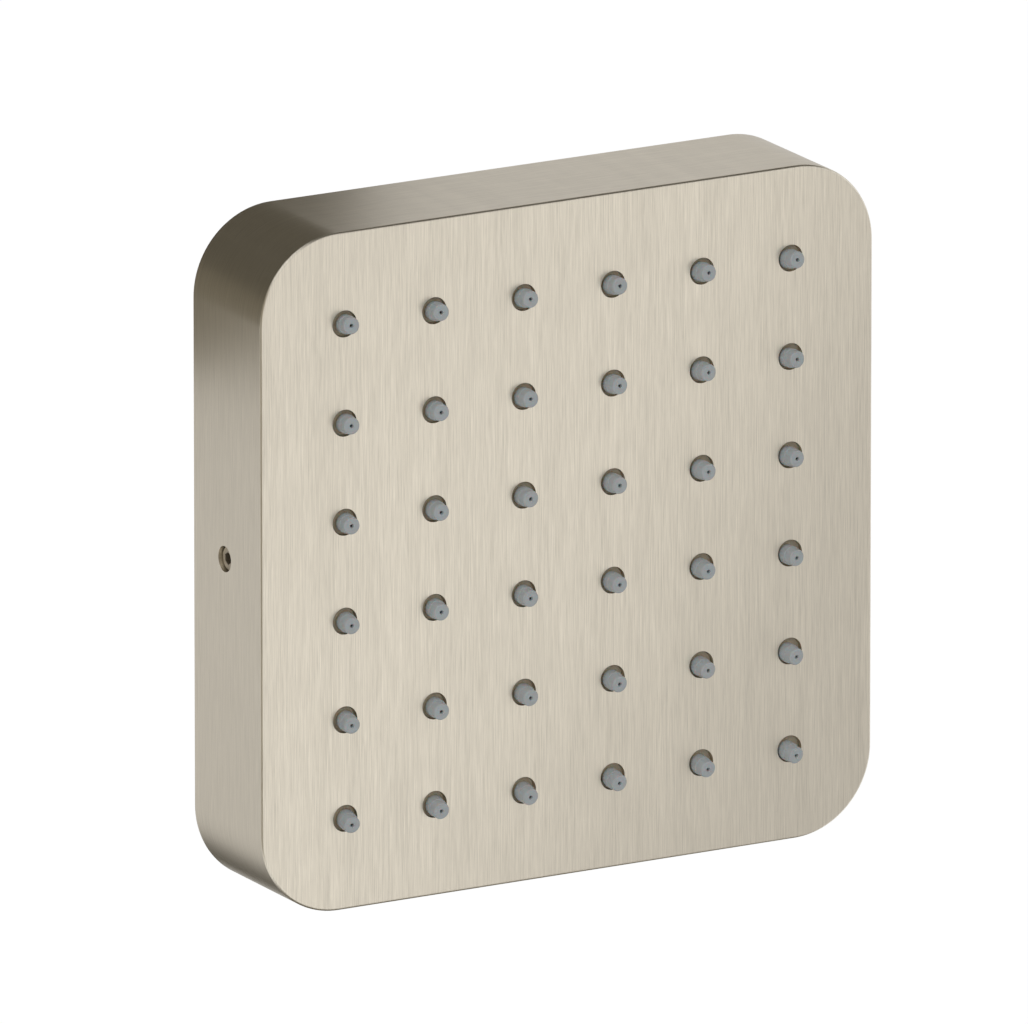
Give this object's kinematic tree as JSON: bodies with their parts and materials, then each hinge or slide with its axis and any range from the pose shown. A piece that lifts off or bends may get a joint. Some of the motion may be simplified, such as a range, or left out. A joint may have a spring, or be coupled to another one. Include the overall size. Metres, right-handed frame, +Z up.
{
  "type": "shower body jet",
  "caption": "Square wall-mounted shower body jet: a rounded brushed-nickel block with a grid of grey silicone nozzles, a grub screw in the side and a plug-in water inlet at the back.",
  "frame": {"origin": "centre of the wall plane, on the axis of the water inlet and in the middle of the wall plate's slots", "axes": "+X to the right as seen from the front, +Y into the wall, +Z up"},
  "size_m": [0.12, 0.0267, 0.12],
  "materials": {
    "brushed_nickel": "brass, nickel plated and brushed",
    "grey_silicone": "moulded silicone",
    "white_plastic": "moulded",
    "black_plastic": "moulded",
    "black_rubber": "moulded",
    "stainless": "bright stainless steel",
    "raw_brass": "turned brass"
  },
  "bodies": {
    "root": {"housing": "brushed_nickel", "nozzle_mat": "grey_silicone", "jet_plate": "white_plastic", "distributor": "white_plastic", "chamber_seal": "black_rubber", "chamber_cover": "black_plastic", "chamber_screws": "stainless", "screw_washers": "stainless", "inlet_socket": "raw_brass", "inlet_gasket": "black_rubber", "inlet_washer": "stainless", "inlet_nut": "raw_brass", "flow_limiter": "white_plastic", "limiter_ring": "black_rubber", "strainer": "stainless", "retaining_ring": "stainless", "wall_plate": "stainless", "wall_seal": "black_rubber", "grub_screw": "stainless"}
  },
  "joints": []
}
